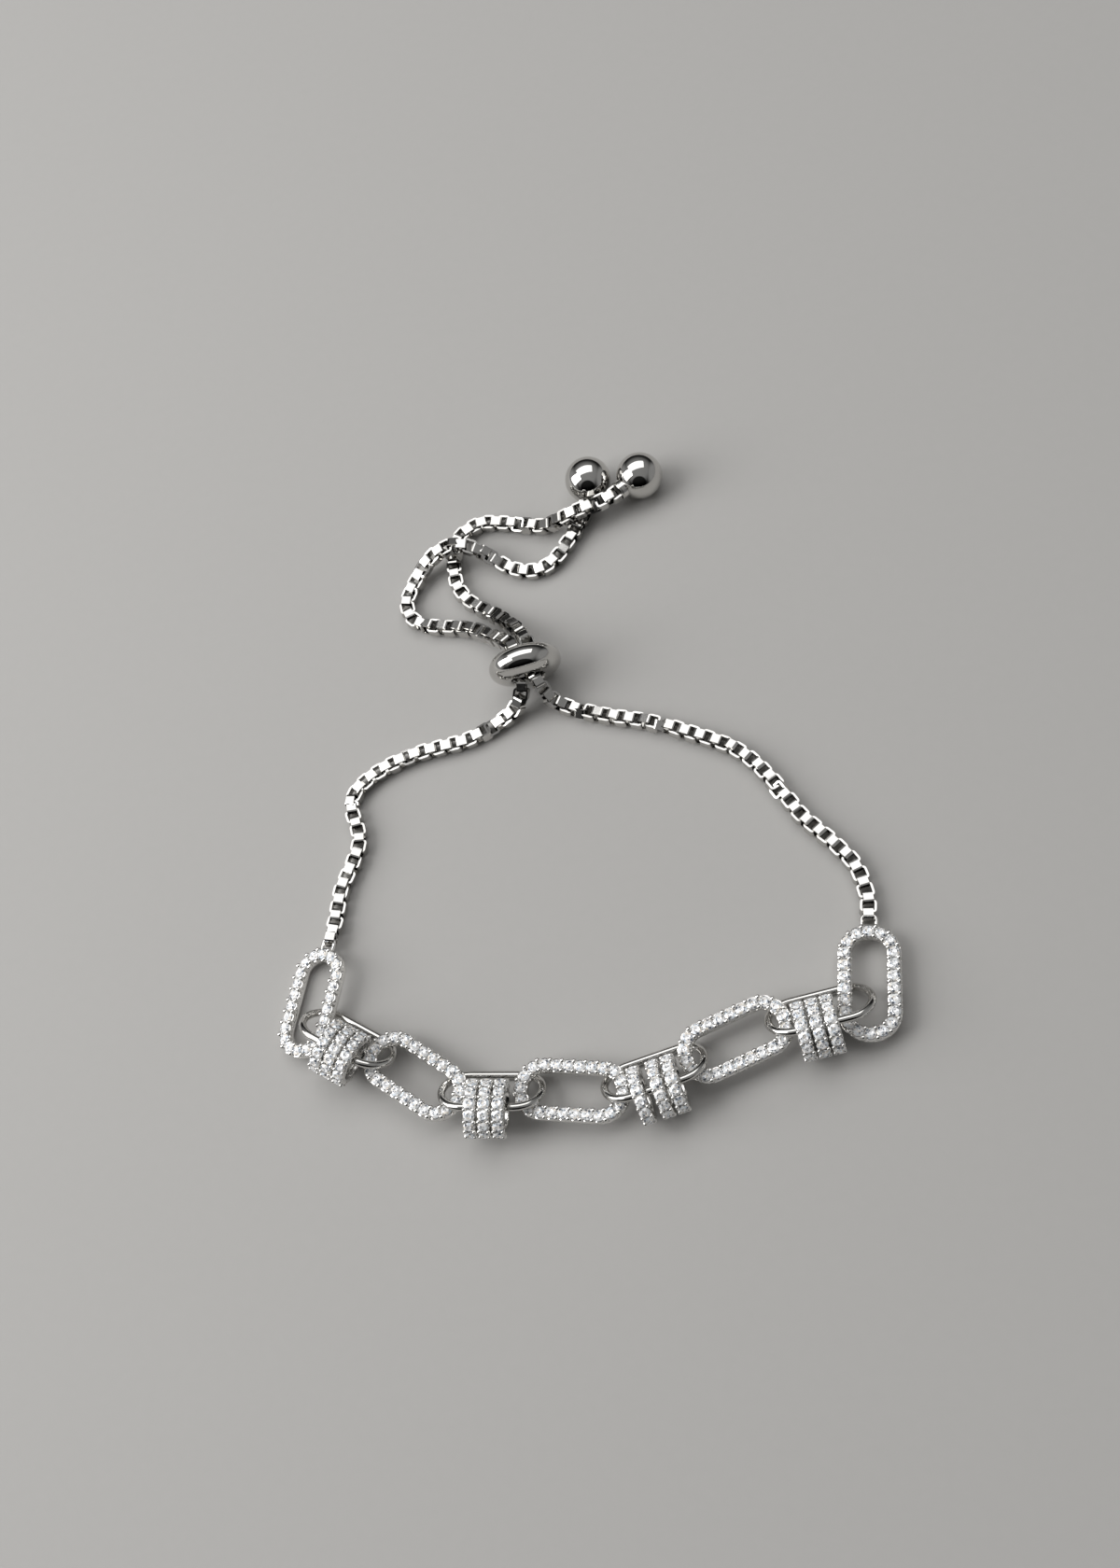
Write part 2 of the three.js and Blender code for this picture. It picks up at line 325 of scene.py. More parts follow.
def stoneWithPaintedSparkle(name):
    # every facet takes its own share of painted light and painted shade in its colour, from the facet's
    # number and the stone's own number
    look = stoneLook
    material, tree, shader = newMaterial(name)

    def numberOf(attribute):
        node = addNode(tree, "ShaderNodeAttribute", {"attribute_name": attribute})
        return Flow(tree, node.outputs["Fac"])

    facet = numberOf("facet")
    own = numberOf("own")

    def shareOf(facetMix, stoneMix):
        return (facet * facetMix + own * stoneMix) % 1.0

    paintedLight = shareOf(*look["paintedLightMix"])
    paintedFire = shareOf(*look["paintedFireMix"])
    paintedShade = between(tree, paintedLight, look["paintedShadeEdges"])
    # painted fire: some facets are painted cool, a few painted warm
    paintedFireTint = mixColour(tree, paintedFire > look["paintedCoolFrom"], look["bright"], look["paintedCoolFire"])
    paintedFireTint = mixColour(tree, paintedFire > look["paintedWarmFrom"], paintedFireTint, look["paintedWarmFire"])
    low, high = look["mirror"]
    # the base colour holds each facet's painted light and painted shade
    feed(tree, shader, {
        "Base Color": mixColour(tree, paintedShade, paintedFireTint, look["paintedShadeFacet"]),
        "Metallic": paintedLight * (high - low) + low,
        "Roughness": look["roughness"]})
    return material


wireMetal = polishedMetal("polished_wire", (0.05, 0.12), 0.5, 0.04)
beadMetal = polishedMetal("polished_bead", (0.03, 0.08), 0.3, 0.03)
chainMetal = polishedMetal("polished_chain", (0.06, 0.15), 0.8, 0.06)
settingMetal = polishedMetal("polished_setting", (0.1, 0.22), 0.6, 0.05, "bright")
paintedSparkleFinish = stoneWithPaintedSparkle("cut_stone")
print("finishes made")


view = {
    "aim": (-2.2, -0.15, 0.0),
    "distance": 169.2,
    "azimuth": 27.55,      # degrees from straight in front towards +X
    "elevation": 64.89,
    "roll": -29.95,
    "lens": 38.57,
    "sensor": 36.0,
    "nearest": 5.0,        # what is nearer to the camera isn't drawn
}


def makeCamera():
    azimuth, elevation, roll = (math.radians(view[k]) for k in ("azimuth", "elevation", "roll"))
    back = Vector((math.cos(elevation) * math.sin(azimuth),
                   -math.cos(elevation) * math.cos(azimuth),
                   math.sin(elevation)))
    level = Vector((math.cos(azimuth), math.sin(azimuth), 0))
    right = level * math.cos(roll) + back.cross(level) * math.sin(roll)
    upward = back.cross(right)
    turned = Matrix((right, upward, back)).transposed().to_4x4()
    data = bpy.data.cameras.new("camera")
    data.lens = view["lens"]
    data.sensor_width = view["sensor"]
    data.clip_start = view["nearest"] * mm
    place = (Vector(view["aim"]) + back * view["distance"]) * mm
    camera = bpy.data.objects.new("camera", data)
    camera.matrix_world = Matrix.Translation(place) @ turned
    bpy.context.scene.collection.objects.link(camera)
    bpy.context.scene.camera = camera


studio = {
    "floor": {"colour": (0.45, 0.441, 0.427), "darker": 0.97, "mottle": 900.0,
              "roughness": 0.85, "shine": 0.2, "reach": 4.0},  # its reach is in metres
    "sky": [(0.0, 0.02), (0.62, 0.02), (0.7, 0.12),            # from straight down to straight up
            (0.82, 0.26), (1.0, 0.3)],
    "sideGlow": 0.3,                  # light from low on the left and right
    "glowEdges": (0.35, 0.8),
    "darkSide": (0.05, -0.93, 0.36),  # the middle of a dark patch low in front
    "darkEdges": (0.8, 0.86),
    "darkLevel": 0.06,
    "lamps": [                        # each aims at the middle; its power is in watts
        {"name": "window_back", "place": (-60, 230, 510), "size": (760, 400), "power": 1.55},
        {"name": "window_left", "place": (-420, -60, 320), "size": (360, 480), "power": 2.3},
    ],
}


def makeFloor():
    look = studio["floor"]
    reach = look["reach"]
    corners = [(-reach, -reach, 0), (reach, -reach, 0), (reach, reach, 0), (-reach, reach, 0)]
    floor = meshObject("floor", corners, [(0, 1, 2, 3)])
    material, tree, shader = newMaterial("pale_floor")
    darker = tuple(look["darker"] * part for part in look["colour"])
    feed(tree, shader, {
        "Base Color": mixColour(tree, noise(tree, look["mottle"], 4.0), darker, look["colour"]),
        "Roughness": look["roughness"],
        "Specular IOR Level": look["shine"]})
    floor.data.materials.append(material)


def makeLamps():
    for lamp in studio["lamps"]:
        data = bpy.data.lights.new(lamp["name"], "AREA")
        data.shape = "RECTANGLE"
        data.size, data.size_y = (s * mm for s in lamp["size"])
        data.energy = lamp["power"]
        obj = bpy.data.objects.new(lamp["name"], data)
        place = Vector(lamp["place"]) * mm
        obj.location = place
        obj.rotation_euler = (-place).to_track_quat("-Z", "Y").to_euler()
        bpy.context.scene.collection.objects.link(obj)


def makeSky():
    world = bpy.data.worlds.new("studio")
    world.use_nodes = True
    tree = world.node_tree
    tree.nodes.clear()
    direction = addNode(tree, "ShaderNodeTexCoord").outputs["Generated"]
    parts = addNode(tree, "ShaderNodeSeparateXYZ", None, {0: direction}).outputs
    height = Flow(tree, parts["Z"])
    across = Flow(tree, parts["X"])
    ramp = addNode(tree, "ShaderNodeValToRGB", {"stops": studio["sky"]}, {0: height * 0.5 + 0.5})
    glow = between(tree, across * across, studio["glowEdges"], high=studio["sideGlow"], soft=True)
    facing = vectorMath(tree, "DOT_PRODUCT", direction, studio["darkSide"])
    shade = between(tree, facing, studio["darkEdges"], 1.0, studio["darkLevel"], soft=True)
    level = Flow(tree, ramp.outputs[0]).atLeast(glow) * Flow(tree, shade)
    background = addNode(tree, "ShaderNodeBackground", None, {0: (1, 1, 1, 1), 1: level})
    addNode(tree, "ShaderNodeOutputWorld", None, {"Surface": background.outputs[0]})
    bpy.context.scene.world = world


makeCamera()
makeFloor()
makeLamps()
makeSky()
bpy.context.scene.view_settings.view_transform = "Standard"
print("camera and studio ready")


# the cut stone, its seat and the bead that holds it, each of radius 1 until the setting scales it
stone = {
    "mains": 8,            # its main facets; the girdle has twice as many
    "table": 0.56, "crown": 0.3,
    "shoulder": 0.8, "shoulderRise": 0.17,
    "wellReach": 0.28, "well": 0.09,
    "culet": 0.12,
    "foot": 0.9, "depth": 0.1,
    "numberStep": 0.618,   # keeps the numbers of neighbouring facets far apart
}
seat = {"sides": 16, "rings": ((1.0, -0.42), (1.0, -0.2), (0.93, -0.1), (0.8, -0.07), (0.7, -0.14))}
bead = {"sides": 9, "rings": ((1.0, -1.6), (1.0, 0.0), (0.87, 0.45), (0.5, 0.78)), "top": 0.9}


def polar(radius, degrees, height):
    return radius * math.cos(math.radians(degrees)), radius * math.sin(math.radians(degrees)), height


def cutStone():
    # a brilliant; the wedges under its table show as a shallow well
    mains = stone["mains"]
    rim = 2 * mains
    turn = 360 / rim
    table = [polar(stone["table"], turn * (2 * k + 1), stone["crown"]) for k in range(mains)]
    shoulder = [polar(stone["shoulder"], turn * 2 * k, stone["shoulderRise"]) for k in range(mains)]
    girdle = [polar(1.0, turn * k, 0.0) for k in range(rim)]
    culet = [(0.0, 0.0, stone["crown"] - stone["culet"])]
    foot = [polar(stone["foot"], turn * k, -stone["depth"]) for k in range(rim)]
    well = [polar(stone["wellReach"], turn * 2 * k, stone["crown"] - stone["well"]) for k in range(mains)]
    shoulderAt = len(table)  # where each layer starts among the corners
    girdleAt = shoulderAt + len(shoulder)
    culetAt = girdleAt + len(girdle)
    footAt = culetAt + 1
    wellAt = footAt + len(foot)
    faces = [tuple(footAt + k for k in range(rim))]
    for k in range(mains):
        before = (k - 1) % mains
        after = (k + 1) % mains
        peak = shoulderAt + k
        under = girdleAt + 2 * k
        faces.append((before, k, peak))                             # star facet
        faces.append((k, peak, under + 1, shoulderAt + after))      # kite facet
        faces.append((peak, girdleAt + (2 * k - 1) % rim, under))   # upper girdle facets
        faces.append((peak, under, under + 1))
        faces.append((before, k, wellAt + k))                       # wedges under the table
        faces.append((k, wellAt + k, wellAt + after))
        faces.append((wellAt + k, wellAt + after, culetAt))
    for k in range(rim):
        after = (k + 1) % rim
        faces.append((girdleAt + k, girdleAt + after, footAt + after, footAt + k))
    obj = meshObject("cut_stone", table + shoulder + girdle + culet + foot + well, faces)
    number = obj.data.attributes.new("facet", "FLOAT", "FACE")
    number.data.foreach_set("value", [
        (stone["numberStep"] * k) % 1.0 for k in range(len(obj.data.polygons))])
    return obj


def stoneSeat():
    # a cup that wraps one stone, from its foot to just under the girdle; a row of them is scalloped
    sides = seat["sides"]
    vertices = [polar(radius, 360 * k / sides, height)
                for k in range(sides) for radius, height in seat["rings"]]
    return meshObject("stone_seat", vertices, gridFaces(sides, len(seat["rings"])), smooth=30)


def holdingBead():
    # a short post with a round head
    sides = bead["sides"]
    rings = bead["rings"]
    vertices = [polar(radius, 360 * j / sides, height) for radius, height in rings for j in range(sides)]
    top = len(vertices)
    vertices.append((0, 0, bead["top"]))
    faces = gridFaces(len(rings), sides, wrapRows=False)
    faces += [(top - sides + j, top - sides + (j + 1) % sides, top) for j in range(sides)]
    faces.append(tuple(range(sides)))
    return meshObject("holding_bead", vertices, faces, smooth=70)


def stoneSettingTree():
    # sets stones in their seats along a row, with a pair of beads between each two, on the metal below
    tree, given = newTree("set stones along a row", [
        ("Row", "Object"), ("Stone", "Object"), ("Seat", "Object"), ("Bead", "Object"),
        ("Stones", "Int"), ("Stone Size", "Float"), ("Seat Along", "Float"), ("Seat Across", "Float"),
        ("Bead Size", "Float"), ("Bead Offset", "Float"), ("Bead Lift", "Float"), ("Lift", "Float"),
        ("Radial", "Bool"), ("Seed", "Int"), ("Metal", "Material"), ("Gem", "Material")])

    def shapeOf(name):
        return addNode(tree, "GeometryNodeObjectInfo", None, {"Object": given[name]}).outputs["Geometry"]

    def moved(points, direction, amount):
        return addNode(tree, "GeometryNodeSetPosition", None, {
            "Geometry": points, "Offset": scaled(tree, direction, amount)}).outputs[0]

    def placed(name, points, chosen, rotation, x, y, z):
        return addNode(tree, "GeometryNodeInstanceOnPoints", None, {
            "Points": points, "Selection": chosen, "Instance": shapeOf(name), "Rotation": rotation,
            "Scale": combined(tree, x, y, z)}).outputs[0]

    def marked(instances, kind, name, value):
        settings = {"data_type": kind, "domain": "INSTANCE"}
        return addNode(tree, "GeometryNodeStoreNamedAttribute", settings, {
            "Geometry": instances, "Name": name, "Value": value}).outputs[0]

    curve = addNode(tree, "GeometryNodeMeshToCurve", None, {"Mesh": shapeOf("Row")}).outputs[0]
    places = addNode(tree, "GeometryNodeCurveToPoints", {"mode": "COUNT"}, {
        "Curve": curve, "Count": Flow(tree, given["Stones"]) * 2.0})
    position = addNode(tree, "GeometryNodeInputPosition").outputs[0]
    outward = vectorMath(tree, "NORMALIZE", vectorMath(tree, "MULTIPLY", position, (1, 1, 0)))
    up = addNode(tree, "GeometryNodeSwitch", {"input_type": "VECTOR"}, {
        "Switch": given["Radial"], "False": (0, 0, 1), "True": outward}).outputs[0]
    tangent = places.outputs["Tangent"]
    side = vectorMath(tree, "NORMALIZE", vectorMath(tree, "CROSS_PRODUCT", tangent, up))
    turned = addNode(tree, "FunctionNodeAxesToRotation", {"primary_axis": "Z", "secondary_axis": "X"}, {
        0: up, 1: tangent}).outputs[0]
    kept = addNode(tree, "GeometryNodeCaptureAttribute")  # rotation, side and up stay with each point
    for kind, name in (("ROTATION", "turned"), ("VECTOR", "side"), ("VECTOR", "up")):
        kept.capture_items.new(kind, name)
    feed(tree, kept, {0: places.outputs["Points"], 1: turned, 2: side, 3: up})
    points, turned, side, up = (kept.outputs[k] for k in range(4))
    odd = Flow(tree, addNode(tree, "GeometryNodeInputIndex").outputs[0]) % 2.0 > 0.5
    even = 1.0 - odd  # stones sit on the even points and beads on the odd ones between them
    chance = addNode(tree, "FunctionNodeRandomValue", {"data_type": "FLOAT"}, {
        "Seed": given["Seed"]}).outputs[1]
    spin = addNode(tree, "FunctionNodeAxisAngleToRotation", None, {
        "Axis": (0, 0, 1), "Angle": Flow(tree, chance) * math.pi}).outputs[0]
    lifted = moved(points, up, given["Lift"])
    size = given["Stone Size"]
    stones = placed("Stone", lifted, even, turnedBy(tree, turned, spin), size, size, size)
    stones = marked(stones, "BOOLEAN", "stone", True)
    stones = marked(stones, "FLOAT", "own", chance)
    seats = placed("Seat", lifted, even, turned, given["Seat Along"], given["Seat Across"], 1.0)
    parts = [given["Geometry"], stones, seats]
    size = given["Bead Size"]
    raised = moved(points, up, given["Bead Lift"])
    for way in (1.0, -1.0):
        beside = moved(raised, side, Flow(tree, given["Bead Offset"]) * way)
        parts.append(placed("Bead", beside, odd, turned, size, size, size))
    together = addNode(tree, "GeometryNodeJoinGeometry")
    for part in parts:
        tree.links.new(part, together.inputs[0])
    metal = madeReal(tree, together.outputs[0], given["Metal"])
    isStone = addNode(tree, "GeometryNodeInputNamedAttribute", {"data_type": "BOOLEAN"}, {
        "Name": "stone"}).outputs["Attribute"]
    gems = addNode(tree, "GeometryNodeSetMaterial", None, {
        "Geometry": metal, "Selection": isStone, "Material": given["Gem"]}).outputs[0]
    addNode(tree, "NodeGroupOutput", None, {0: gems})
    return tree


def roundWireTree():
    tree, given = newTree("round wire along a loop", [
        ("Radius", "Float"), ("Sides", "Int"), ("Metal", "Material")])
    curve = addNode(tree, "GeometryNodeMeshToCurve", None, {"Mesh": given["Geometry"]}).outputs[0]
    section = addNode(tree, "GeometryNodeCurvePrimitiveCircle", None, {
        "Resolution": given["Sides"], "Radius": given["Radius"]}).outputs[0]
    tube = addNode(tree, "GeometryNodeCurveToMesh", None, {
        "Curve": curve, "Profile Curve": section}).outputs[0]
    smooth = addNode(tree, "GeometryNodeSetShadeSmooth", None, {"Geometry": tube}).outputs[0]
    addNode(tree, "NodeGroupOutput", None, {0: madeReal(tree, smooth, given["Metal"])})
    return tree


twist = {
    "pace": 0.055,            # how fast the wander changes from link to link
    "turnEdges": (0.4, 0.6),  # the part of each whole step of the wander in which the chain turns
}


def boxChainTree():
    # links along an open path, each a quarter turn from the last, with a slow wander of the whole twist
    tree, given = newTree("box chain along a path", [
        ("Link", "Object"), ("Links", "Int"), ("Roll", "Float"), ("Wander", "Float"),
        ("Seed", "Float"), ("Play", "Vector"), ("Metal", "Material")])
    curve = addNode(tree, "GeometryNodeMeshToCurve", None, {"Mesh": given["Geometry"]}).outputs[0]
    places = addNode(tree, "GeometryNodeCurveToPoints", {"mode": "COUNT"}, {
        "Curve": curve, "Count": given["Links"]})
    facing = addNode(tree, "FunctionNodeAxesToRotation", {"primary_axis": "X", "secondary_axis": "Z"}, {
        0: places.outputs["Tangent"], 1: (0, 0, 1)}).outputs[0]
    index = Flow(tree, addNode(tree, "GeometryNodeInputIndex").outputs[0])
    drift = Flow(tree, addNode(tree, "ShaderNodeTexNoise", {"noise_dimensions": "1D"}, {
        "W": index * twist["pace"] + Flow(tree, given["Seed"]), "Scale": 1.0, "Detail": 1.0}).outputs[0])
    lean = drift * Flow(tree, given["Wander"])
    whole = lean - lean % 1.0
    quarter = between(tree, lean % 1.0, twist["turnEdges"], soft=True)
    turns = index + whole + Flow(tree, quarter)
    angle = turns * (math.pi / 2) + Flow(tree, given["Roll"])
    spin = addNode(tree, "FunctionNodeAxisAngleToRotation", None, {
        "Axis": (1, 0, 0), "Angle": angle}).outputs[0]
    loose = addNode(tree, "FunctionNodeRandomValue", {"data_type": "FLOAT_VECTOR"}, {
        0: scaled(tree, given["Play"], -1.0), 1: given["Play"]}).outputs[0]
    shaken = addNode(tree, "FunctionNodeEulerToRotation", None, {0: loose}).outputs[0]
    turned = turnedBy(tree, turnedBy(tree, facing, spin), shaken)
    link = addNode(tree, "GeometryNodeObjectInfo", None, {"Object": given["Link"]}).outputs["Geometry"]
    links = addNode(tree, "GeometryNodeInstanceOnPoints", None, {
        "Points": places.outputs["Points"], "Instance": link, "Rotation": turned}).outputs[0]
    addNode(tree, "NodeGroupOutput", None, {0: madeReal(tree, links, given["Metal"])})
    return tree


cutStoneShape = cutStone()
seatShape = stoneSeat()
beadShape = holdingBead()
stoneSetting = stoneSettingTree()
roundWire = roundWireTree()
boxChain = boxChainTree()
print("stones, beads and trees ready")


barEdges = {                           # of the metal under a row of stones
    "foot": 0.16, "footMiddle": 0.05,  # the rounded lower edges
    "ledgeDrop": 0.06, "ledgeIn": 0.04, "ledgeRise": 0.02,
    "wallTop": 0.05, "wall": 0.12,     # two thin walls stand on the ledge
    "grooveIn": 0.2, "groove": 0.3,    # with a groove between them
}
paveLink = {
    "length": 11.1, "width": 5.8, "endRise": 2.7, "steps": 16,
    "bar": 1.32, "metal": 0.8, "stones": 22,
    "ledge": 0.26, "neck": 0.5,        # below the seats the bar is wider by a ledge
    "setting": {"Stone Size": 0.53, "Seat Along": 0.62, "Seat Across": 0.7, "Bead Size": 0.26,
                "Bead Offset": 0.45, "Bead Lift": 0.15, "Lift": 0.07, "Seed": 4},
    "eye": {"wire": 0.19, "half": 0.68, "reach": 0.3, "steps": 28, "sides": 12,
            "square": 0.5},            # 1 would make a round eye, 0 a square one
    "places": [
        {"x": -26.61, "y": -21.76, "z": 0.90, "turn": 77.5, "roll": -17, "rise": 0, "eye": True},
        {"x": -15.8, "y": -29.65, "z": 1.6, "turn": -34, "roll": -7, "rise": 0, "eye": False},
        {"x": -0.62, "y": -31.7, "z": 1.51, "turn": -6, "roll": -3, "rise": 1, "eye": False},
        {"x": 14.67, "y": -27.61, "z": 1.6, "turn": 22, "roll": 2, "rise": 1, "eye": False},
        {"x": 27.09, "y": -22.91, "z": 1.05, "turn": 87, "roll": 0, "rise": -3, "eye": True},
    ],
}


def barProfile(width, depth, ledge, neck):
    # section of the metal under a row of stones, with the row's level at 0
    half = width / 2
    edge = barEdges
    right = [
        (half - edge["foot"], -depth),
        (half - edge["footMiddle"], -depth + edge["footMiddle"]),
        (half, -depth + edge["foot"]),
        (half, -ledge - edge["ledgeDrop"]),
        (half - edge["ledgeIn"], -ledge),
        (neck, -ledge + edge["ledgeRise"]),
        (neck, -edge["wallTop"]),
        (neck - edge["wall"], -edge["wallTop"]),
        (neck - edge["grooveIn"], -edge["groove"]),
    ]
    left = [(-across, height) for across, height in reversed(right)]
    return right + left


def joinMeshes(base, other):
    merged = bmesh.new()
    for obj in (base, other):
        merged.from_mesh(obj.data)
    merged.to_mesh(base.data)
    merged.free()
    bpy.data.objects.remove(other)


def setStones(metal, path, count, radial, setting, number):
    # each piece's own number makes its stones unlike the next piece's
    row = loopObject("row", path)
    made = runTree(metal, stoneSetting, {
        **setting, "Row": row, "Stone": cutStoneShape, "Seat": seatShape, "Bead": beadShape,
        "Stones": count, "Radial": radial, "Seed": setting["Seed"] + number,
        "Metal": settingMetal, "Gem": paintedSparkleFinish})
    bpy.data.objects.remove(row)
    return made


def makeEye():
    # the small loop, square with round corners, that takes the first link of a chain
    eye = paveLink["eye"]
    centre = paveLink["length"] / 2 + eye["reach"]

    def squared(part):
        return eye["half"] * math.copysign(abs(part) ** eye["square"], part)

    height = paveLink["metal"] / 2
    angles = [2 * math.pi * i / eye["steps"] for i in range(eye["steps"])]
    corners = [Vector((centre + squared(math.cos(angle)), squared(math.sin(angle)), height))
               for angle in angles]
    return runTree(loopObject("eye", corners), roundWire, {
        "Radius": eye["wire"], "Sides": eye["sides"], "Metal": settingMetal})


def makePaveLink(number, where):
    size = paveLink
    path = ovalLoop(size["length"] - size["bar"], size["width"] - size["bar"],
                    size["endRise"] - size["bar"] / 2, size["steps"], size["metal"])
    profile = barProfile(size["bar"], size["metal"], size["ledge"], size["neck"])
    metal = sweepLoop("metal", path, profile, radial=False)
    if where["eye"]:
        joinMeshes(metal, makeEye())
    link = setStones(metal, path, size["stones"], False, size["setting"], number)
    name = f"pave_link_{number}"
    finishPiece(link, name + "_set", name,
                placeMatrix(*(where[k] for k in ("x", "y", "z", "turn", "rise", "roll"))))


for number, where in enumerate(paveLink["places"], 1):
    makePaveLink(number, where)
print("stone-set links made")


wireLink = {
    "length": 10.5, "width": 5.58, "wire": 0.38, "sides": 20, "steps": 28,
    "places": [  # each rests on its far bar, and its rings ride on the near one, at these places along it
        {"x": -22.58, "y": -25.68, "turn": -29.5, "lean": 49, "tip": 10, "rings": (-1.1, 0.26, 1.62)},
        {"x": -8.28, "y": -31.34, "turn": -2.5, "lean": 41, "tip": 8, "rings": (-1.53, -0.18, 1.17)},
        {"x": 7.08, "y": -30.3, "turn": 16.5, "lean": 40.5, "tip": 0, "rings": (-1.7, 0.15, 1.6)},
        {"x": 22.46, "y": -25.23, "turn": 11.5, "lean": 41, "tip": 0, "rings": (-1.92, -0.58, 0.76)},
    ],
}
ring = {
    "metal": 2.45, "inner": 1.85, "width": 1.22, "ledge": 0.24, "neck": 0.44,
    "crown": 0.34,  # room under the metal for the stones that it stands on
    "stones": 14, "steps": 84,
    "setting": {"Stone Size": 0.54, "Seat Along": 0.6, "Seat Across": 0.62, "Bead Size": 0.2,
                "Bead Offset": 0.43, "Bead Lift": 0.18, "Lift": 0.12, "Seed": 9},
}


def makeRing(number, matrix):
    angles = [2 * math.pi * i / ring["steps"] for i in range(ring["steps"])]
    path = [Vector((ring["metal"] * math.cos(angle), ring["metal"] * math.sin(angle), 0))
            for angle in angles]
    profile = barProfile(ring["width"], ring["metal"] - ring["inner"], ring["ledge"], ring["neck"])
    metal = sweepLoop("metal", path, profile, radial=True)
    made = setStones(metal, path, ring["stones"], True, ring["setting"], number)
    name = f"pave_ring_{number}"
    finishPiece(made, name + "_set", name, matrix @ Matrix.Rotation(math.pi / 2, 4, "Y"))


def makeWireLinks():
    bar = wireLink["width"] / 2 - wireLink["wire"]
    ringNumber = 0
    for number, where in enumerate(wireLink["places"], 1):
        lean = math.radians(where["lean"])
        tip = math.radians(where["tip"])
        path = ovalLoop(wireLink["length"] - 2 * wireLink["wire"], 2 * bar, bar, wireLink["steps"])
        made = runTree(loopObject("wire", path), roundWire, {
            "Radius": wireLink["wire"], "Sides": wireLink["sides"], "Metal": wireMetal})
        name = f"plain_link_{number}"
        finishPiece(made, name + "_wire", name,
                    placeMatrix(where["x"], where["y"], wireLink["wire"] + bar * math.sin(lean),
                                where["turn"], 0, -where["lean"]))
        base = placeMatrix(where["x"], where["y"], 0, where["turn"])
        reach = ring["metal"] + ring["crown"]
        height = reach * math.cos(tip) + ring["width"] / 2 * math.sin(tip)
        for along in where["rings"]:
            ringNumber += 1
            makeRing(ringNumber, base @ Matrix.Translation((along, -bar * math.cos(lean), height))
                     @ Matrix.Rotation(tip, 4, "Y"))


makeWireLinks()
print("wire links and rings made")


slider = {
    "radius": 3.75, "half": 1.5, "bore": 1.7, "lip": 0.3,
    "segments": 96, "steps": 40, "lipSteps": 6,
    "place": {"x": -5.03, "y": 11.72, "z": 3.75, "turn": 102.4, "rise": 12},
}
ball = {
    "radius": 2.45, "segments": 72, "steps": 40,
    "collar": 1.04, "reach": 0.45, "socket": 0.9, "depth": 0.35,
    "foot": 0.05,                                    # the collar starts this far outside the ball
    "groove": (0.22, 0.17, 0.12), "grooveIn": 0.05,  # a fine groove, measured down from the rim
    "chamfer": 0.05, "chamferIn": 0.04,
    "places": {
        "end_ball_left": {"x": 1.38, "y": 33.55, "z": 2.45, "turn": -102, "rise": -28},
        "end_ball_right": {"x": 6.92, "y": 33.32, "z": 2.45, "turn": -142, "rise": 3},
    },
}


def makeSlider():
    rim = slider["bore"] + slider["lip"]
    shoulder = slider["half"] - slider["lip"]
    bulge = slider["radius"] - rim
    profile = []
    for i in range(slider["steps"] + 1):
        angle = math.pi * (i / slider["steps"] - 0.5)
        profile.append((rim + bulge * math.cos(angle), slider["half"] * math.sin(angle)))

    def addLip(start, middle):
        for i in range(1, slider["lipSteps"]):
            angle = start + math.pi / 2 * i / slider["lipSteps"]
            profile.append((rim + slider["lip"] * math.cos(angle),
                            middle + slider["lip"] * math.sin(angle)))

    addLip(math.pi / 2, shoulder)
    profile.append((slider["bore"], shoulder))
    profile.append((slider["bore"], -shoulder))
    addLip(math.pi, -shoulder)
    made = turnProfile("slider", profile, slider["segments"])
    made.data.materials.append(beadMetal)
    finishPiece(made, "slider_bead_smooth", "slider_bead",
                placeMatrix(**slider["place"]))


def makeBall(node, where):
    radius = ball["radius"]
    collar = ball["collar"]
    socket = ball["socket"]
    top = math.acos(collar / radius)
    profile = [(0.0, -radius)]
    for i in range(1, ball["steps"] + 1):
        angle = -math.pi / 2 + (math.pi / 2 + top) * i / ball["steps"]
        profile.append((radius * math.cos(angle), radius * math.sin(angle)))
    rim = radius + ball["reach"]
    lower, middle, upper = (rim - down for down in ball["groove"])
    profile += [
        (collar, radius * math.sin(top) + ball["foot"]),
        (collar, lower), (collar - ball["grooveIn"], middle), (collar, upper),
        (collar, rim - ball["chamfer"]), (collar - ball["chamferIn"], rim),
        (socket, rim), (socket, rim - ball["depth"]), (0.0, rim - ball["depth"]),
    ]
    made = turnProfile("ball", profile, ball["segments"])
    made.data.materials.append(beadMetal)
    finishPiece(made, node + "_smooth", node, placeMatrix(**where))


makeSlider()
for node, where in ball["places"].items():
    makeBall(node, where)
print("slider bead and balls made")


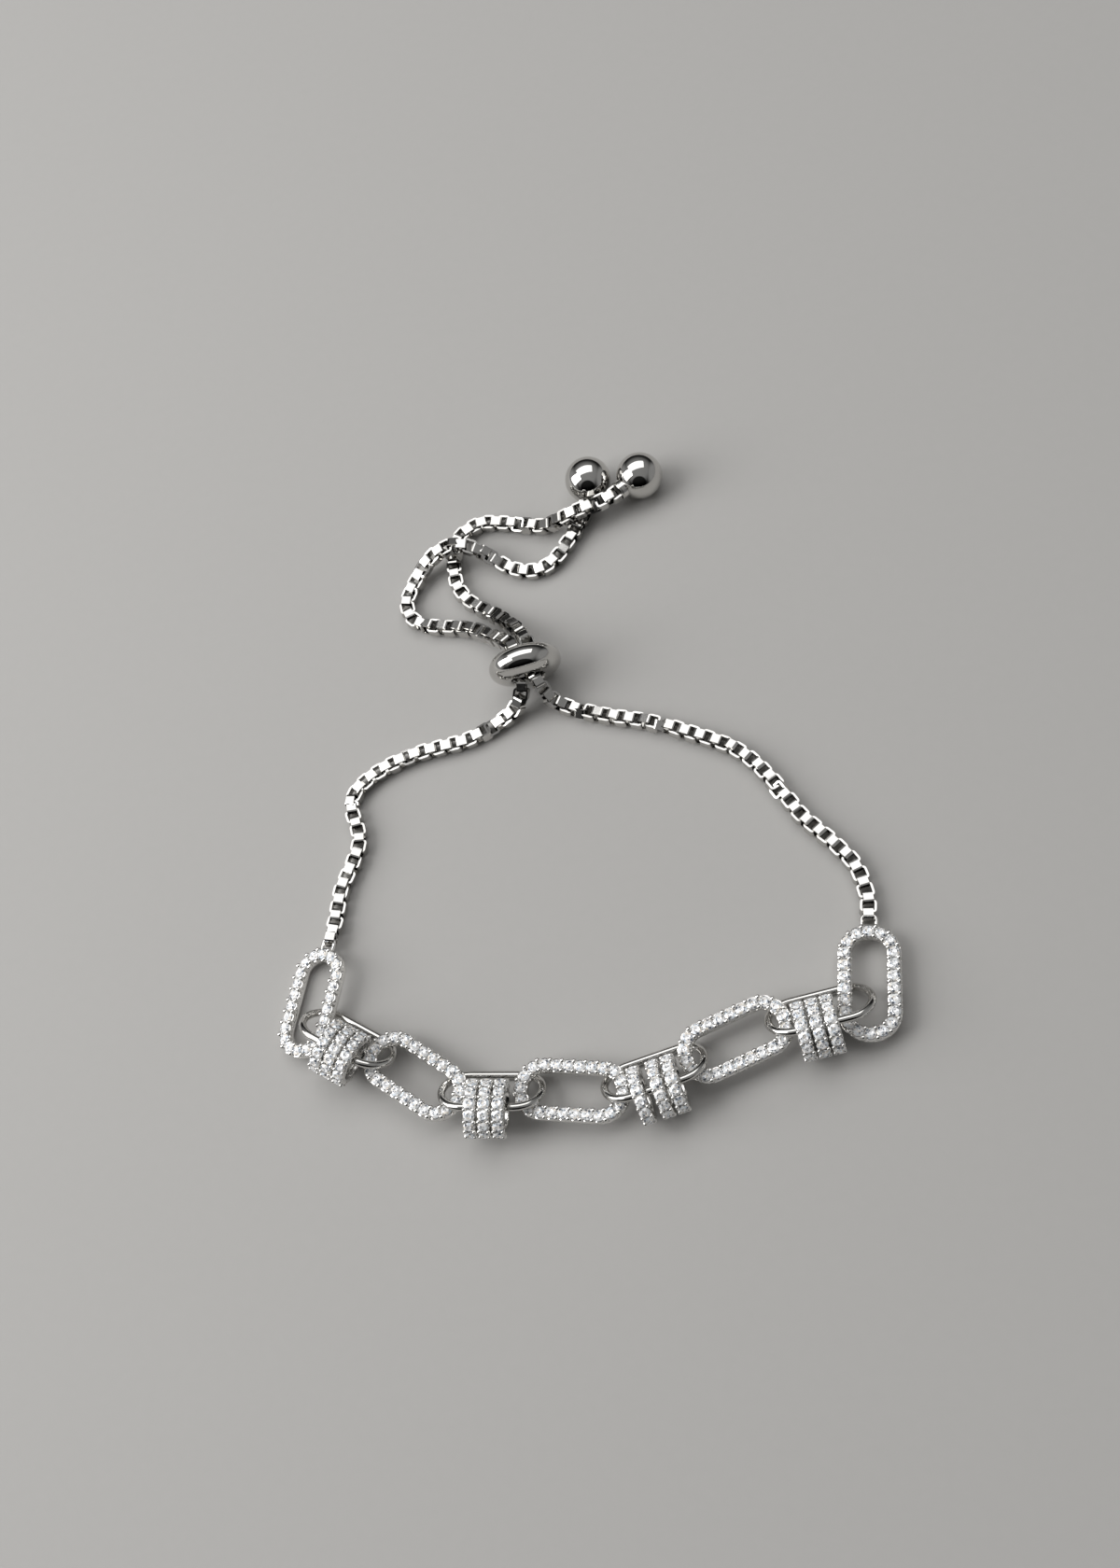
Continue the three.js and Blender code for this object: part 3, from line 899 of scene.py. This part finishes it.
boxLink = {"length": 1.31, "height": 1.56, "strip": 0.94, "thick": 0.21, "bend": 0.1, "bendSteps": 3}
chain = {
    "pitch": 0.84,
    "play": (0.1, 0.05, 0.05),  # how far each link may turn about its three axes, in radians
    "roll": 0.1,                # turns the whole chain, in radians
    "wander": 3.2,              # quarter turns that the twist may drift by
    "spanSteps": 12,            # of the curve between two points of a route
    "routes": {  # trims at each route's start and end, the twist's seed, and the given points
        "chain_left": {"trims": (-0.2, 0.25), "seed": 33.0, "points": [
            (-25.15, -15.1, 1.25), (-24.9, -13.15, 0.82), (-24.4, -9.95, 0.82), (-23.3, -7.15, 0.82),
            (-22.8, -4.95, 0.82), (-23.3, -2.95, 0.82), (-23.8, -1.25, 0.82), (-23.3, 0.55, 0.82),
            (-21.5, 2.15, 0.82), (-19.4, 3.25, 0.82), (-16.8, 4.15, 0.82), (-14.2, 4.65, 0.82),
            (-11.7, 5.15, 0.82), (-9.1, 6.35, 0.82), (-7.2, 7.45, 1.1), (-5.96, 8.34, 2.2),
            (-5.43, 9.72, 3.35), (-5.79, 11.4, 3.72)]},
        "tail_left": {"trims": (0.25, 0.6), "seed": 36.0, "points": [
            (-5.85, 11.68, 3.78), (-6.22, 13.36, 4.14), (-7.01, 14.44, 3.6), (-8.05, 15.4, 2.65),
            (-9.3, 16.45, 1.6), (-11, 17.55, 1.11), (-13, 18.15, 0.82), (-14.9, 18.45, 0.82),
            (-16.8, 18.95, 0.82), (-18.2, 19.95, 0.82), (-18.7, 21.45, 0.82), (-18.4, 22.95, 0.82),
            (-17.6, 24.35, 1.11), (-16.5, 25.75, 1.73), (-15.1, 26.65, 2.35), (-13.6, 27.15, 2.6),
            (-12, 27.05, 2.47), (-10.6, 26.65, 1.85), (-9.2, 25.95, 1.11), (-7.6, 24.85, 0.82),
            (-5.7, 24.15, 0.82), (-4, 24.25, 0.82), (-2.6, 25.15, 0.82), (-1.4, 26.75, 0.82),
            (-0.3, 28.45, 0.82), (0.72, 30.47, 0.84), (0.88, 31.21, 1.18)]},
        "chain_right": {"trims": (-0.2, 0.25), "seed": 34.0, "points": [
            (27.35, -16.15, 1.05), (27.4, -14.75, 0.82), (27.1, -13.15, 0.82), (26.4, -11.15, 0.82),
            (25, -9.35, 0.82), (23.2, -7.45, 0.82), (21.7, -5.85, 0.82), (20.2, -3.55, 0.82),
            (18.8, -1.55, 0.82), (17.3, 0.25, 0.82), (15.5, 1.75, 0.82), (13.4, 2.85, 0.82),
            (11.1, 3.85, 0.82), (8.7, 4.85, 0.82), (6.2, 5.65, 0.82), (3.3, 6.35, 0.82),
            (0.7, 7.15, 0.82), (-1.2, 7.85, 0.82), (-2.5, 8.45, 1.5), (-3.29, 9.11, 2.5),
            (-3.84, 10.08, 3.35), (-4.21, 11.76, 3.72)]},
        "tail_right": {"trims": (0.25, 0.6), "seed": 11.0, "points": [
            (-4.27, 12.04, 3.78), (-4.64, 13.72, 4.14), (-5.19, 14.86, 3.8), (-6.1, 16.2, 2.8),
            (-7.4, 17.65, 1.98), (-9.1, 19.25, 0.99), (-10.9, 20.45, 0.82), (-12.2, 21.55, 0.82),
            (-13.1, 23.05, 0.82), (-13.5, 24.65, 0.82), (-13.7, 26.65, 0.82), (-13.3, 28.65, 0.82),
            (-12.3, 29.85, 0.82), (-10.6, 30.55, 0.82), (-8.4, 30.35, 0.82), (-6.1, 29.85, 0.82),
            (-3.6, 29.25, 1.17), (-1.7, 29.25, 2.1), (0.1, 29.65, 2.65), (2, 30.2, 2.7),
            (3.85, 30.93, 2.66), (4.78, 31.65, 2.59)]},
    },
}


def smoothRoute(points):
    # a smooth curve through the given points, as the solid tube follows it
    points = [Vector(p) for p in points]
    padded = [2 * points[0] - points[1], *points, 2 * points[-1] - points[-2]]
    steps = chain["spanSteps"]
    route = []
    for before, start, end, after in zip(padded, padded[1:], padded[2:], padded[3:]):
        first, middle, last = (math.sqrt((b - a).length)
                               for a, b in ((before, start), (start, end), (end, after)))
        chord = (end - start) / middle
        leave = ((start - before) / first - (end - before) / (first + middle) + chord) * middle
        arrive = (chord - (after - start) / (middle + last) + (after - end) / last) * middle
        for i in range(steps):
            t = i / steps
            route.append(start * (2 * t ** 3 - 3 * t ** 2 + 1) + leave * (t ** 3 - 2 * t ** 2 + t)
                         + end * (3 * t ** 2 - 2 * t ** 3) + arrive * (t ** 3 - t ** 2))
    route.append(points[-1])
    return route


def trimStart(route, amount):
    # takes that length off the start of a route, or adds it where the amount is negative
    if amount < 0:
        return [route[0] + (route[0] - route[1]).normalized() * -amount, *route]
    for i, (a, b) in enumerate(zip(route, route[1:])):
        length = (b - a).length
        if amount < length:
            return [a.lerp(b, amount / length), *route[i + 1:]]
        amount -= length
    return route


def makeBoxLink():
    # a flat strip folded to a square, with its opening along Y
    thick, strip, bend, steps = (boxLink[k] for k in ("thick", "strip", "bend", "bendSteps"))
    section = [(0, -strip / 2), (thick, -strip / 2), (thick, strip / 2), (0, strip / 2)]
    vertices = []
    for corner, (signX, signZ) in enumerate(((1, 1), (-1, 1), (-1, -1), (1, -1))):
        centreX = signX * (boxLink["length"] / 2 - thick - bend)
        centreZ = signZ * (boxLink["height"] / 2 - thick - bend)
        for i in range(steps + 1):
            angle = math.pi / 2 * (corner + i / steps)
            vertices += [(centreX + (bend + reach) * math.cos(angle), across,
                          centreZ + (bend + reach) * math.sin(angle)) for reach, across in section]
    return meshObject("box_link", vertices, gridFaces(4 * (steps + 1), len(section)))


def makeChain(node, route):
    path = trimStart(smoothRoute(route["points"]), route["trims"][0])
    path = trimStart(path[::-1], route["trims"][1])[::-1]
    length = sum((b - a).length for a, b in zip(path, path[1:]))
    links = round(length / chain["pitch"]) + 1
    made = runTree(loopObject("route", path, closed=False), boxChain, {
        "Link": boxLinkShape, "Links": links, "Roll": chain["roll"], "Wander": chain["wander"],
        "Seed": route["seed"], "Play": chain["play"], "Metal": chainMetal})
    finishPiece(made, node + "_links", node)
    return links, length


boxLinkShape = makeBoxLink()
for node, route in chain["routes"].items():
    links, length = makeChain(node, route)
    print(f"{node}: {links} links on {length:.1f} mm")
for shape in (boxLinkShape, cutStoneShape, seatShape, beadShape):
    bpy.data.objects.remove(shape)
print("box chains made")
